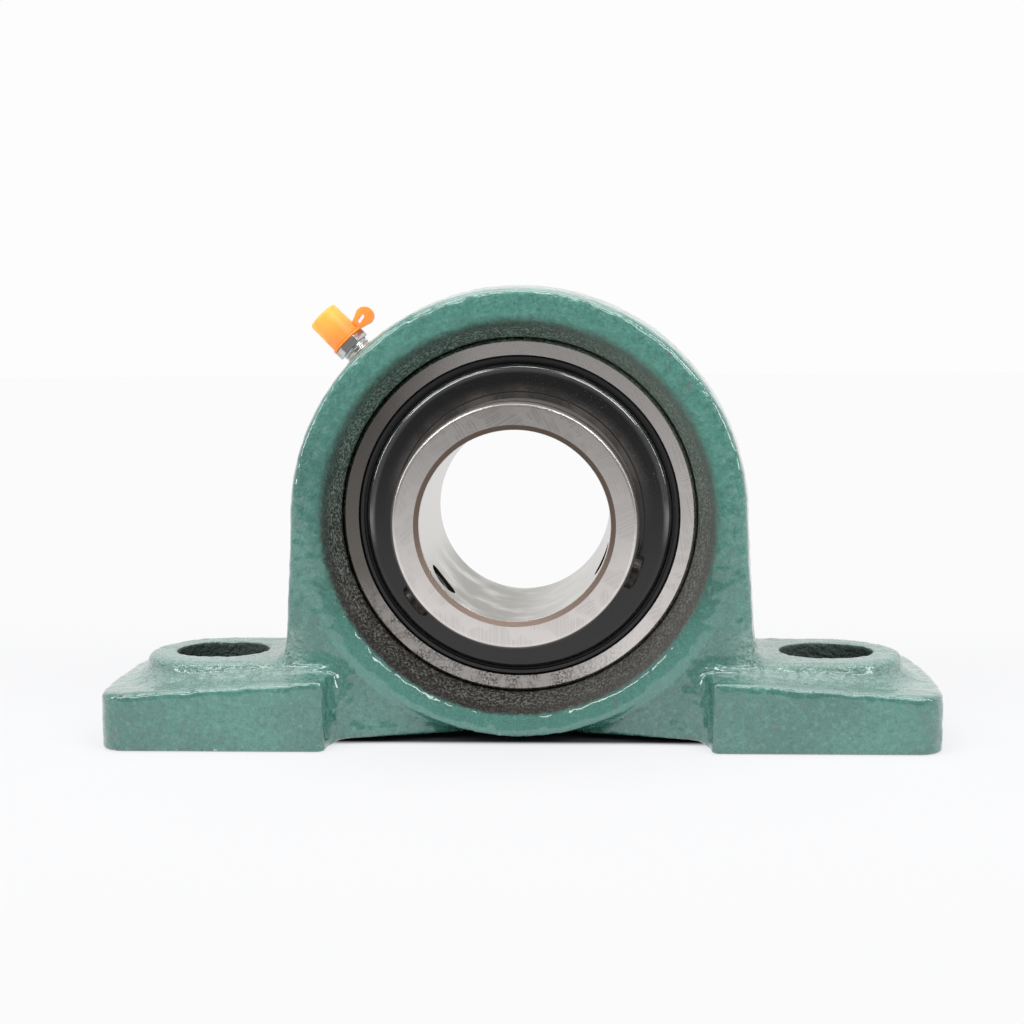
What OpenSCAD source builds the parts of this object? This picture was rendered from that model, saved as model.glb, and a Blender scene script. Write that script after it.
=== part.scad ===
// Foot-mounted bearing unit: a one-piece cast housing that holds a
// self-aligning ball bearing insert, locked to a plain shaft by set screws.
// The origin lies on the base plane under the middle of the spherical seat.
// X runs along the base, Y along the shaft with the set screws at the
// front (-Y), and Z points up.

/* [Housing] */
// Height of the shaft axis above the base plane
shaft_height = 49.2; // [48.8:0.1:52]
// Overall length of the base, over the bulged ends of the feet
base_length = 184.6; // [180:0.2:190]
// Bulge of each foot's outer end
foot_bulge = 1.4; // [0.6:0.1:2]
// Width of the base across the feet
base_width = 53; // [50:0.5:56]
// Thickness of a foot at its outer end
foot_tip_height = 12.5; // [11:0.1:13.5]
// Thickness of a foot where it meets the arch
foot_root_height = 15.9; // [14.5:0.1:17]
// Clear distance between the two feet
foot_gap = 82; // [78:0.5:84]
// Height of the shallow relief under the middle of the base
relief_height = 1; // [0.6:0.1:1.5]
// Height of the flat pads that carry the bolt heads
pad_height = 18; // [17.2:0.1:20]
// Radius of the bolt pads
pad_radius = 17; // [16:0.1:17.4]
// Largest radius of the arch, on its middle plane
arch_radius = 50.8; // [50:0.1:53]
// Width of the arch between its front and back faces
arch_width = 35.2; // [34.8:0.2:37]
// Rise of the crowned arch from its face edge to its middle plane
arch_crown = 1.3; // [0.8:0.1:1.8]
// Draft angle of the arch's legs
arch_draft = 3.2; // [1:0.1:4]
// Outer radius of the rim below the bore
rim_radius = 48.2; // [47:0.1:48.6]
// Thickness of the web under the rim, at its waist
web_waist = 18; // [16:0.5:20]
// Angle at which the web widens towards each foot
web_taper = 15.2; // [14:0.1:16.5]
// Radius of the recess mouth on the front and back faces
mouth_radius = 43.2; // [42.4:0.1:44]
// Width of the spherical seat along the shaft
seat_width = 19.6; // [18.4:0.1:20.4]

/* [Base bolts] */
// Distance between the two bolt slots
bolt_spacing = 137; // [134:0.5:142]
// Width of each bolt slot
bolt_slot_w = 17; // [14:0.5:18]
// Length of each bolt slot
bolt_slot_l = 20; // [19:0.5:24]

/* [Bearing insert] */
// Bore for the shaft
shaft_d = 40; // [38:0.1:40.5]
// Outside diameter of the inner ring
inner_ring_od = 52; // [51:0.1:52.6]
// Width of the inner ring
inner_ring_w = 49.2; // [47:0.1:52]
// Length of the inner ring on the set-screw side of the balls
inner_ring_lead = 30.2; // [29:0.1:32]
// Diameter of the outer ring's spherical outside
sphere_d = 80; // [79.6:0.1:80.6]
// Width of the outer ring
outer_ring_w = 21; // [20.6:0.1:22]
// Ball diameter
ball_d = 12; // [11.4:0.1:12.3]
// Diameter of the circle through the ball centres
ball_pitch_d = 60; // [59.6:0.1:60.4]
// Thickness of the pressed cage sheet
cage_sheet = 0.9; // [0.6:0.05:1]
// Radial width of the cage strip
cage_band = 4.2; // [3.6:0.1:5]
// Outside radius of the slingers
slinger_radius = 33.7; // [32.4:0.1:34]
// Radius of the seal seats in the outer ring
seal_seat_radius = 35.3; // [35:0.1:36]

/* [Set screws] */
// Thread diameter of the set screws
screw_d = 7.5; // [6:0.5:9]
// Length of each set screw
screw_length = 7.6; // [6.4:0.1:8.4]
// Distance of the set screws from the inner ring's front face
screw_setback = 8; // [7:0.1:9]
// Angle of the first set screw, from +X towards +Z
screw_angle_1 = 218; // [205:1:230]
// Angle of the second set screw, from +X towards +Z
screw_angle_2 = 337; // [325:1:345]

/* [Grease nipple] */
// Angle of the nipple, from +X towards +Z
nipple_angle = 135; // [120:1:150]
// Diameter of the nipple's threaded shank
shank_d = 6; // [5:0.1:7]
// Hexagon size across its flats
hex_size = 7; // [6.4:0.1:8]
// Height of the hexagon
hex_height = 1.85; // [1.4:0.05:2.2]
// Diameter of the nipple's head
head_d = 5.6; // [5:0.1:5.8]
// Outside diameter of the dust cap at its mouth
cap_d = 7.5; // [7.3:0.1:8]
// Length of the dust cap
cap_length = 7.6; // [7.2:0.1:9]

/* [Hidden] */
$fn = 96;
ball_count = 9;

// Running and seating clearances
seat_play = 0.04;
ball_play = 0.06;
pocket_play = 0.15;
thread_play = 0.05;
lip_play = 0.15;
fit_play = 0.02;

// Housing
foot_tip_r = 6;
foot_root_r = 2.4;
web_fillet = 4.4;
web_draft = 6;
leg_fillet = 4;
face_fillet = 2.5;
pad_edge = 1.4;
pocket_top = 17;
pocket_run = 10;
arch_half = arch_width / 2;
seat_half = seat_width / 2;
crown_r = (arch_half * arch_half + arch_crown * arch_crown) / (2 * arch_crown);
foot_slope = atan((foot_root_height - foot_tip_height) / (base_length / 2 - foot_gap / 2));
leg_inset = 0.1;
leg_overlap = 6;
leg_reach = arch_radius - leg_inset + (shaft_height - pad_height) * tan(arch_draft);
seat_r = sphere_d / 2 + seat_play;
lip_r = sqrt(seat_r * seat_r - seat_half * seat_half) + 0.3;
groove_low = -1.4;
groove_high = 7;
groove_depth = 0.8;
groove_run = 2;

// Bearing insert
bore_r = shaft_d / 2;
inner_r = inner_ring_od / 2;
pitch_r = ball_pitch_d / 2;
ball_r = ball_d / 2;
race_r = 0.52 * ball_d;
inner_race_c = pitch_r - ball_r - ball_play + race_r;
outer_race_c = pitch_r + ball_r + ball_play - race_r;
shoulder_r = pitch_r + ball_d / 3;
ring_half = outer_ring_w / 2;
ring_face_r = sqrt(sphere_d * sphere_d / 4 - ring_half * ring_half) - 0.4;
grease_hole_y = 6;
drill_run = 2;
bore_chamfer = 1.05;
corner_r = 1.2;

// Seals and slingers, as distances from the ball plane
seal_depth = 2.9;
seal_recess = 0.6;
seal_edge = 0.4;
seal_step = 0.3;
seal_sheet = 1;
seal_run = 5;
slinger_gap = 0.6;
slinger_rise = 1.1;
slinger_side = 0.5;
slinger_sheet = 0.9;
slinger_bend = 1.9;
seal_in = ring_half - seal_depth;
seal_out = ring_half - seal_recess;
seal_web_in = seal_in + seal_step;
seal_web_out = seal_web_in + seal_sheet;
slinger_in = seal_web_out + slinger_gap;
slinger_out = ring_half + slinger_rise;

// Cage
cage_in = pitch_r - cage_band / 2;
cage_out = pitch_r + cage_band / 2;
rivet_r = 0.8;
rivet_head_r = 1.4;
rivet_head_h = 0.6;

// Set screws
screw_r = screw_d / 2;
screw_tip = bore_r + 0.5;
screw_y = -inner_ring_lead + screw_setback;
socket_size = screw_d / 2;

// Grease nipple, as distances from the shaft axis
nipple_gap = 0.05;
shank_wall = 4.61;
shank_relief = 0.5;
nipple_seat = max(arch_radius, rim_radius) + nipple_gap;
shank_end = seat_r + shank_wall;
thread_show = 1.65;
hex_base = nipple_seat + thread_show;
hex_top = hex_base + hex_height;
neck_r = 2.2;
ring_room = 0.7;
head_rise = 1.2;
tip_rise = 5.4;
cap_mouth = hex_top + ring_room;
head_low = cap_mouth + head_rise;
tip_top = cap_mouth + tip_rise;
duct_r = 1.5;
duct_run = 2;
chamber_r = 1.35;
chamber_floor = 1.2;
chamber_low = nipple_seat + chamber_floor;
check_r = 1.2;
check_at = tip_top - 1.55;
cap_bore_r = head_d / 2 + 0.15;
cap_roof = 1;
wire_r = 0.15;
coil_r = 0.95;
coil_turns = 6;
spring_low = chamber_low + fit_play;
spring_high = check_at - 0.95;
strap_w = 2.4;
loop_r = 2.03;
loop_root = 1.05;
loop_hole_r = 0.45;
loop_hole_l = 1.3;
loop_tilt = 10;
loop_perp = cap_d / 2 + 2.9;
loop_along = cap_mouth + 0.65;

// Colours
enamel = [0.36, 0.56, 0.50];
ground_steel = [0.74, 0.72, 0.69];
ball_steel = [0.82, 0.82, 0.84];
cage_steel = [0.66, 0.66, 0.66];
seal_black = [0.10, 0.10, 0.11];
slinger_black = [0.24, 0.24, 0.26];
screw_black = [0.12, 0.12, 0.12];
zinc = [0.78, 0.76, 0.70];
cap_orange = [0.95, 0.52, 0.12];

// Angles of the balls and of the rivets between them, from +X towards +Z
function ball_angle(index) = 90 + 360 * (index - 1) / ball_count;
function rivet_angle(index) = 90 + 360 * (index - 0.5) / ball_count;

// Turns a shape made about Z onto the shaft axis, with Z along +Y
module along_shaft() {
    translate([0, 0, shaft_height])
        rotate([-90, 0, 0])
            children();
}

// Turns a shape made along Z onto a ray from the shaft axis
module radial(angle) {
    translate([0, 0, shaft_height])
        rotate([0, 90 - angle, 0])
            children();
}

// Places a shape on the ball circle at an angle, with Z along +Y
module on_pitch(angle) {
    along_shaft()
        rotate([0, 0, -angle])
            translate([pitch_r, 0, 0])
                children();
}

// Repeats a shape in all four quadrants of a plan
module in_quadrants() {
    for (across = [0, 1], along = [0, 1])
        mirror([across, 0, 0])
            mirror([0, along, 0])
                children();
}

// Concave fillet for an inside corner at the origin, opening to +X and +Y
module fillet(r) {
    difference() {
        square(r);
        translate([r, r])
            circle(r);
    }
}

// Plan of a bar from x0 to x1 with its own corner radius at each end
module rounded_bar(x0, x1, width, r0, r1) {
    translate([x0 + r0, -width / 2])
        square([x1 - x0 - r0 - r1, width]);
    translate([x0, -width / 2 + r0])
        square([2 * r0, width - 2 * r0]);
    translate([x1 - 2 * r1, -width / 2 + r1])
        square([2 * r1, width - 2 * r1]);
    for (side = [-1, 1]) {
        translate([x0 + r0, side * (width / 2 - r0)])
            circle(r0);
        translate([x1 - r1, side * (width / 2 - r1)])
            circle(r1);
    }
}

// Plan of one foot, with a slightly bulged outer end
module foot_plan() {
    flat_end = base_length / 2 - foot_bulge;
    half_chord = base_width / 2 - foot_tip_r;
    bulge_r = (half_chord * half_chord + foot_bulge * foot_bulge) / (2 * foot_bulge);
    rounded_bar(foot_gap / 2, flat_end, base_width, foot_root_r, foot_tip_r);
    intersection() {
        translate([flat_end - 2 * foot_tip_r, -half_chord])
            square([3 * foot_tip_r, 2 * half_chord]);
        translate([base_length / 2 - bulge_r, 0])
            circle(bulge_r);
    }
}

module base_plan() {
    for (side = [0, 1])
        mirror([side, 0])
            foot_plan();
    square([foot_gap + 2, base_width - 2 * foot_root_r], center = true);
}

// Plan of the hollow between a foot and the web, in the quadrant of +X and +Y
module pocket_plan() {
    wall = foot_gap / 2;
    bend_x = wall - web_fillet;
    bend_y = web_waist / 2 + (web_fillet + bend_x * sin(web_taper)) / cos(web_taper);
    translate([bend_x, bend_y])
        circle(web_fillet);
    polygon([
        [-1, web_waist / 2],
        [0, web_waist / 2],
        [bend_x + web_fillet * sin(web_taper), bend_y - web_fillet * cos(web_taper)],
        [bend_x, bend_y],
        [wall, bend_y],
        [wall, base_width],
        [-1, base_width]
    ]);
}

// Four hollows that leave a tapered and drafted web between the feet
module pockets() {
    in_quadrants()
        rotate([web_draft, 0, 0])
            translate([0, 0, -pocket_run])
                linear_extrude(height = pocket_top + pocket_run)
                    pocket_plan();
}

module base_profile() {
    tip = base_length / 2;
    root = foot_gap / 2;
    right = [
        [root - 1.8, relief_height],
        [root + 0.2, 0],
        [tip, 0],
        [tip, foot_tip_height],
        [root, foot_root_height]
    ];
    left = [for (i = [len(right) - 1:-1:0]) [-right[i][0], right[i][1]]];
    polygon(concat(right, left));
}

module base_slab() {
    intersection() {
        linear_extrude(height = 2 * foot_root_height)
            base_plan();
        rotate([90, 0, 0])
            linear_extrude(height = 2 * base_width, center = true)
                base_profile();
    }
}

module bolt_pads() {
    for (side = [0, 1])
        mirror([side, 0, 0])
            translate([bolt_spacing / 2, 0, relief_height]) {
                rotate_extrude()
                    pad_profile();
                rotate([90, 0, -90])
                    linear_extrude(height = bolt_spacing / 2 - arch_radius + leg_overlap) {
                        pad_profile();
                        mirror([1, 0])
                            pad_profile();
                    }
            }
}

// Half section of a bolt pad, with its top edge rounded
module pad_profile() {
    top = pad_height - relief_height;
    square([pad_radius, top - pad_edge]);
    square([pad_radius - pad_edge, top]);
    translate([pad_radius - pad_edge, top - pad_edge])
        circle(pad_edge);
}

module bolt_slots() {
    straight = bolt_slot_l - bolt_slot_w;
    for (side = [-1, 1])
        translate([side * bolt_spacing / 2, 0, -1])
            linear_extrude(height = pad_height + 2) {
                square([straight, bolt_slot_w], center = true);
                for (end = [-1, 1])
                    translate([end * straight / 2, 0])
                        circle(d = bolt_slot_w);
            }
}

// One crowned and drafted side of the arch, filling all that lies inside it
module leg_side() {
    translate([arch_radius - leg_inset, 0, shaft_height])
        rotate([0, -arch_draft, 0])
            translate([-crown_r, 0, -2 * shaft_height])
                cylinder(r = crown_r, h = 3 * shaft_height);
}

module legs() {
    intersection() {
        translate([-base_length / 2, -arch_half, foot_tip_height / 2])
            cube([base_length, arch_width, shaft_height - foot_tip_height / 2]);
        leg_side();
        mirror([1, 0, 0])
            leg_side();
    }
}

module arch() {
    intersection() {
        along_shaft()
            rotate_extrude()
                intersection() {
                    translate([0, -arch_half])
                        square([arch_radius, arch_width]);
                    translate([arch_radius - crown_r, 0])
                        circle(crown_r);
                }
        translate([-base_length / 2, -arch_width, shaft_height - leg_overlap])
            cube([base_length, 2 * arch_width, arch_radius + 2 * leg_overlap]);
    }
    along_shaft()
        cylinder(r = rim_radius, h = arch_width, center = true);
}

module casting_fillets() {
    for (side = [0, 1])
        mirror([side, 0, 0])
            translate([leg_reach - 1.2, 0, pad_height])
                rotate([90, 0, 0])
                    linear_extrude(height = 2 * (pad_radius - pad_edge), center = true)
                        translate([-0.6, -0.6])
                            fillet(leg_fillet + 0.6);
    in_quadrants()
        translate([foot_gap / 2, arch_half, foot_root_height])
            rotate([0, foot_slope, 0])
                rotate([90, 0, 90])
                    linear_extrude(height = leg_reach - foot_gap / 2 - 1)
                        translate([-0.5, -0.5])
                            fillet(face_fillet + 0.5);
}

// Spherical seat with the conical recesses in front of and behind it
module seat_cut() {
    along_shaft() {
        sphere(seat_r);
        for (end = [0, 1])
            mirror([0, 0, end])
                rotate_extrude()
                    polygon([
                        [0, seat_half],
                        [lip_r, seat_half],
                        [mouth_radius - 0.8, arch_half - 0.7],
                        [mouth_radius, arch_half],
                        [mouth_radius, arch_half + 2],
                        [0, arch_half + 2]
                    ]);
        rotate_extrude()
            translate([seat_r - groove_run, groove_low])
                square([groove_run + groove_depth, groove_high - groove_low]);
    }
}

// Two notches on the back through which the insert is loaded edge on
module loading_notches() {
    along_shaft()
        linear_extrude(height = arch_half + 1)
            intersection() {
                circle(seat_r);
                square([2 * sphere_d, outer_ring_w + 0.8], center = true);
            }
}

module housing() {
    color(enamel)
        difference() {
            union() {
                difference() {
                    union() {
                        base_slab();
                        legs();
                    }
                    pockets();
                }
                bolt_pads();
                arch();
                casting_fillets();
            }
            seat_cut();
            loading_notches();
            bolt_slots();
            radial(nipple_angle) {
                translate([0, 0, shank_end - shank_relief])
                    cylinder(d = shank_d + 2 * fit_play, h = nipple_seat - shank_end + 2 * shank_relief);
                translate([0, 0, seat_r - duct_run])
                    cylinder(r = duct_r, h = shank_end - seat_r + 2 * duct_run);
            }
        }
}

module outer_ring() {
    color(ground_steel)
        difference() {
            along_shaft()
                rotate_extrude()
                    difference() {
                        intersection() {
                            circle(d = sphere_d);
                            polygon([
                                [shoulder_r, -ring_half],
                                [ring_face_r, -ring_half],
                                [ring_face_r + 2.5, 2.5 - ring_half],
                                [ring_face_r + 2.5, ring_half - 2.5],
                                [ring_face_r, ring_half],
                                [shoulder_r, ring_half]
                            ]);
                        }
                        translate([outer_race_c, 0])
                            circle(race_r);
                        for (end = [0, 1])
                            mirror([0, end])
                                translate([0, seal_in])
                                    square([seal_seat_radius, seal_run]);
                    }
            for (angle = [nipple_angle, nipple_angle + 180])
                radial(angle)
                    translate([0, grease_hole_y, shoulder_r - drill_run])
                        cylinder(r = 0.9, h = sphere_d / 2 - shoulder_r + 2 * drill_run);
        }
}

module inner_ring() {
    low = -inner_ring_lead;
    high = inner_ring_w - inner_ring_lead;
    color(ground_steel)
        difference() {
            along_shaft()
                rotate_extrude()
                    difference() {
                        union() {
                            polygon([
                                [bore_r, low + bore_chamfer],
                                [bore_r + bore_chamfer, low],
                                [inner_r - corner_r, low],
                                [inner_r, low + corner_r],
                                [inner_r, high - corner_r],
                                [inner_r - corner_r, high],
                                [bore_r + bore_chamfer, high],
                                [bore_r, high - bore_chamfer]
                            ]);
                            translate([inner_r - corner_r, low + corner_r])
                                circle(corner_r);
                            translate([inner_r - corner_r, high - corner_r])
                                circle(corner_r);
                        }
                        translate([inner_race_c, 0])
                            circle(race_r);
                    }
            for (angle = [screw_angle_1, screw_angle_2])
                radial(angle)
                    translate([0, screw_y, bore_r - drill_run])
                        cylinder(r = screw_r + thread_play, h = inner_r - bore_r + 2 * drill_run);
        }
}

module ball(index) {
    color(ball_steel)
        on_pitch(ball_angle(index))
            sphere(ball_r);
}

// One pressed half of the cage: a flat strip with a round pocket at each ball
module cage_half(side) {
    pocket_r = ball_r + pocket_play;
    color(cage_steel)
        intersection() {
            along_shaft()
                mirror([0, 0, side])
                    rotate_extrude()
                        translate([cage_in, 0])
                            square([cage_band, ball_d]);
            union() {
                along_shaft()
                    mirror([0, 0, side])
                        translate([0, 0, -1])
                            linear_extrude(height = cage_sheet + 1)
                                cage_strip(pocket_r + cage_sheet / 2);
                for (i = [1:ball_count])
                    on_pitch(ball_angle(i))
                        difference() {
                            sphere(pocket_r + cage_sheet);
                            sphere(pocket_r);
                        }
            }
        }
}

// Plan of the cage strip, open at the balls and drilled for the rivets
module cage_strip(hole_r) {
    difference() {
        circle(cage_out + 1);
        circle(cage_in - 1);
        for (i = [1:ball_count]) {
            rotate(-ball_angle(i))
                translate([pitch_r, 0])
                    circle(hole_r);
            rotate(-rivet_angle(i))
                translate([pitch_r, 0])
                    circle(rivet_r + fit_play);
        }
    }
}

module cage_front() {
    cage_half(1);
}

module cage_rear() {
    cage_half(0);
}

// Rivet between two pockets, headed on both sides of the cage
module rivet(index) {
    color(cage_steel)
        on_pitch(rivet_angle(index)) {
            cylinder(r = rivet_r, h = 2 * cage_sheet, center = true);
            for (end = [0, 1])
                mirror([0, 0, end])
                    translate([0, 0, cage_sheet])
                        cylinder(r1 = rivet_head_r, r2 = rivet_r, h = rivet_head_h);
        }
}

// Rubber seal held in the outer ring, with a lip round the inner ring
module seal(side) {
    lip_in = inner_r + lip_play;
    band_in = slinger_radius + slinger_side;
    band_out = seal_seat_radius - fit_play;
    color(seal_black)
        along_shaft()
            mirror([0, 0, side])
                rotate_extrude() {
                    polygon([
                        [band_in, seal_in],
                        [band_out, seal_in],
                        [band_out, seal_out - seal_edge],
                        [band_out - seal_edge, seal_out],
                        [band_in, seal_out]
                    ]);
                    translate([inner_r + 1, seal_web_in])
                        square([slinger_radius - inner_r, seal_web_out - seal_web_in]);
                    polygon([
                        [lip_in, seal_web_in + 0.2],
                        [lip_in + 1.1, seal_in + 0.1],
                        [lip_in + 1.1, seal_web_out + 0.2],
                        [lip_in, seal_web_out - 0.3]
                    ]);
                }
}

module seal_front() {
    seal(1);
}

module seal_rear() {
    seal(0);
}

// Pressed disc that turns with the inner ring and covers the seal
module slinger(side) {
    color(slinger_black)
        along_shaft()
            mirror([0, 0, side])
                rotate_extrude() {
                    hub = inner_r + fit_play;
                    shoulder = slinger_radius - slinger_bend;
                    translate([hub, slinger_in])
                        square([slinger_sheet, slinger_out - slinger_in]);
                    translate([hub, slinger_out - slinger_sheet])
                        square([shoulder - hub, slinger_sheet]);
                    translate([slinger_radius - slinger_sheet, slinger_in])
                        square([slinger_sheet, slinger_out - slinger_bend - slinger_in]);
                    translate([shoulder, slinger_out - slinger_bend])
                        intersection() {
                            difference() {
                                circle(slinger_bend);
                                circle(slinger_bend - slinger_sheet);
                            }
                            square(slinger_bend);
                        }
                }
}

module slinger_front() {
    slinger(1);
}

module slinger_rear() {
    slinger(0);
}

// Cup-point set screw with a hexagon socket
module set_screw(angle) {
    color(screw_black)
        radial(angle)
            translate([0, screw_y, screw_tip])
                difference() {
                    rotate_extrude()
                        polygon([
                            [0, 0],
                            [0.65 * screw_r, 0],
                            [screw_r, 0.9],
                            [screw_r, screw_length - 0.4],
                            [screw_r - 0.4, screw_length],
                            [0, screw_length]
                        ]);
                    translate([0, 0, -0.1])
                        cylinder(r1 = 0.5 * screw_r, r2 = 0.1 * screw_r, h = 0.9);
                    translate([0, 0, 0.5 * screw_length])
                        cylinder(d = socket_size / cos(30), h = screw_length, $fn = 6);
                }
}

module set_screw_1() {
    set_screw(screw_angle_1);
}

module set_screw_2() {
    set_screw(screw_angle_2);
}

module grease_nipple() {
    head_r = head_d / 2;
    shank_r = shank_d / 2;
    color(zinc)
        radial(nipple_angle)
            difference() {
                union() {
                    rotate_extrude()
                        polygon([
                            [0, shank_end],
                            [shank_r - 0.4, shank_end],
                            [shank_r, shank_end + 0.4],
                            [shank_r, hex_base],
                            [neck_r, hex_base],
                            [neck_r, head_low],
                            [head_r, head_low + 0.6],
                            [head_r, head_low + 1.6],
                            [2, head_low + 2.6],
                            [1.8, tip_top],
                            [0, tip_top]
                        ]);
                    translate([0, 0, hex_base])
                        cylinder(d = hex_size / cos(30), h = hex_height, $fn = 6);
                }
                translate([0, 0, shank_end - 1])
                    cylinder(r = 0.8, h = tip_top);
                translate([0, 0, chamber_low])
                    cylinder(r = chamber_r, h = tip_top - 1.4 - chamber_low);
                translate([0, 0, tip_top - 1.4])
                    cylinder(r1 = chamber_r, r2 = 0.8, h = 0.9);
            }
}

module check_ball() {
    color(ball_steel)
        radial(nipple_angle)
            translate([0, 0, check_at])
                sphere(check_r);
}

// Fine coil spring that holds the check ball on its seat
module check_spring() {
    steps = 16;
    sides = 6;
    count = coil_turns * steps;
    rise = (spring_high - spring_low - 2 * wire_r) / count;
    points = [
        for (i = [0:count], k = [0:sides - 1])
            let (turn = 360 * i / steps, round = 360 * k / sides)
            let (r = coil_r + wire_r * cos(round))
            [r * cos(turn), r * sin(turn), spring_low + wire_r + i * rise + wire_r * sin(round)]
    ];
    tube = [
        for (i = [0:count - 1], k = [0:sides - 1])
            let (a = i * sides + k, b = i * sides + (k + 1) % sides)
            each [[a, a + sides, b], [b, a + sides, b + sides]]
    ];
    first = [for (k = [0:sides - 1]) k];
    last = [for (k = [sides - 1:-1:0]) count * sides + k];
    color(ball_steel)
        radial(nipple_angle)
            polyhedron(points = points, faces = concat(tube, [first, last]));
}

// Soft cap that keeps dirt off the nipple's head
module dust_cap() {
    cap_r = cap_d / 2;
    color(cap_orange)
        radial(nipple_angle)
            translate([0, 0, cap_mouth])
                difference() {
                    rotate_extrude()
                        polygon([
                            [0, 0],
                            [cap_r, 0],
                            [cap_r - 0.15, cap_length - 0.4],
                            [cap_r - 0.5, cap_length],
                            [0, cap_length]
                        ]);
                    translate([0, 0, -1])
                        cylinder(r = cap_bore_r, h = cap_length - cap_roof + 1);
                }
}

// Ring round the nipple's neck with the looped strap that holds the cap
module cap_tether() {
    ring_low = hex_top + 0.1;
    ring_high = cap_mouth - 0.1;
    ring_r = cap_d / 2 + 0.3;
    strap_in = cap_d / 2 + 0.1;
    color(cap_orange)
        radial(nipple_angle) {
            rotate_extrude()
                translate([neck_r + 0.2, ring_low])
                    square([ring_r - neck_r - 0.2, ring_high - ring_low]);
            rotate([90, 0, 0])
                linear_extrude(height = strap_w, center = true)
                    difference() {
                        union() {
                            translate([loop_perp, loop_along])
                                circle(loop_r);
                            polygon([
                                [strap_in, ring_low],
                                [loop_perp, loop_along - loop_r],
                                [loop_perp, loop_along + loop_r],
                                [strap_in, loop_along + loop_root]
                            ]);
                        }
                        translate([loop_perp - loop_root, loop_along + loop_hole_r / 4])
                            rotate(loop_tilt) {
                                square([loop_hole_l, 2 * loop_hole_r], center = true);
                                for (end = [-1, 1])
                                    translate([end * loop_hole_l / 2, 0])
                                        circle(loop_hole_r);
                            }
                    }
        }
}

housing();
outer_ring();
inner_ring();
for (i = [1:ball_count])
    ball(i);
cage_front();
cage_rear();
for (i = [1:ball_count])
    rivet(i);
seal_front();
seal_rear();
slinger_front();
slinger_rear();
set_screw_1();
set_screw_2();
grease_nipple();
check_ball();
check_spring();
dust_cap();
cap_tether();
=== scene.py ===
# %% [markdown]
# # A foot-mounted bearing unit
# The part is a cast housing, painted with green enamel, that holds a ball bearing insert.
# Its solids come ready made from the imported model. This lesson gives them the skin that a
# foundry, a grinding shop and a paint shop would give them, and builds a small photo studio.

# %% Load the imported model
import math

import bmesh
import bpy
import numpy as np
from mathutils import Matrix, Vector


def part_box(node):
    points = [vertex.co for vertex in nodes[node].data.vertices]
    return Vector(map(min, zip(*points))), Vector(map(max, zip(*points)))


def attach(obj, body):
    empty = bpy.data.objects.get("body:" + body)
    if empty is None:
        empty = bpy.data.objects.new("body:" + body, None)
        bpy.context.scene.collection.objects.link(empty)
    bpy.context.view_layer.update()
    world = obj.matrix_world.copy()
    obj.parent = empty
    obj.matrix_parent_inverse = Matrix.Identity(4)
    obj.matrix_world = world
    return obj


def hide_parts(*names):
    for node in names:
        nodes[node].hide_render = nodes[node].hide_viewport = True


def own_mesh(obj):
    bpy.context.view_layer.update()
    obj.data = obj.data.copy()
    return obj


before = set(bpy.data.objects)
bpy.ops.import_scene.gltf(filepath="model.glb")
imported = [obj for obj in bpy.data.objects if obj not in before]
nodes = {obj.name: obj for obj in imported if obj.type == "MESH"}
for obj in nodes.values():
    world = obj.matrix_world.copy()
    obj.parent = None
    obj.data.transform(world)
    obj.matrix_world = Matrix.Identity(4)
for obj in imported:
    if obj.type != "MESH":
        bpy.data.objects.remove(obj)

MM = 0.001
scene = bpy.context.scene
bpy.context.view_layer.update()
ring_low, ring_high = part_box("outer_ring")
SHAFT_Z = (ring_low.z + ring_high.z) / 2
print("nodes", len(nodes), "shaft height", round(SHAFT_Z / MM, 2), "mm")

# %% [markdown]
# ## The camera
# A lens is best set by numbers that were measured, not by eye: where it stood, how it was
# turned and how long it was. The small shift moves the picture in its frame, as a view
# camera does, without turning the camera.

# %% Camera
CAMERA_AT = Vector((18.36, -373.33, 87.41)) * MM
CAMERA_YAW, CAMERA_PITCH, CAMERA_ROLL = -0.04802, -0.10619, -0.0066
IMAGE_SIDE = 1024
FOCAL_PIXELS = 1668.1
AXIS_OFFSET_PIXELS = (11.15, 7.0)
SENSOR_WIDTH = 36.0


def camera_axes(yaw, pitch, roll):
    """Right, up and forward of a camera that looks along +Y before it is turned."""
    forward = Vector((math.sin(yaw) * math.cos(pitch), math.cos(yaw) * math.cos(pitch), math.sin(pitch)))
    level = Vector((math.cos(yaw), -math.sin(yaw), 0))
    upright = level.cross(forward)
    right = level * math.cos(roll) + upright * math.sin(roll)
    up = upright * math.cos(roll) - level * math.sin(roll)
    return right, up, forward


right, up, forward = camera_axes(CAMERA_YAW, CAMERA_PITCH, CAMERA_ROLL)
lens = bpy.data.cameras.new("studio_camera")
lens.sensor_width = SENSOR_WIDTH
lens.lens = FOCAL_PIXELS * SENSOR_WIDTH / IMAGE_SIDE
lens.shift_x = -AXIS_OFFSET_PIXELS[0] / IMAGE_SIDE
lens.shift_y = AXIS_OFFSET_PIXELS[1] / IMAGE_SIDE
lens.clip_start, lens.clip_end = 0.01, 20
camera = bpy.data.objects.new("studio_camera", lens)
camera.matrix_world = Matrix.Translation(CAMERA_AT) @ Matrix((right, up, -forward)).transposed().to_4x4()
scene.collection.objects.link(camera)
scene.camera = camera
print("lens", round(lens.lens, 2), "mm")

# %% [markdown]
# ## Writing shaders as sums
# A node tree is a formula drawn as boxes. Here a small class wraps an output socket, so that
# `1 - mask * 0.5` adds the Math nodes by itself. Every other node, in a material or in a
# geometry tree, is added by the one method `node`.


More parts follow.
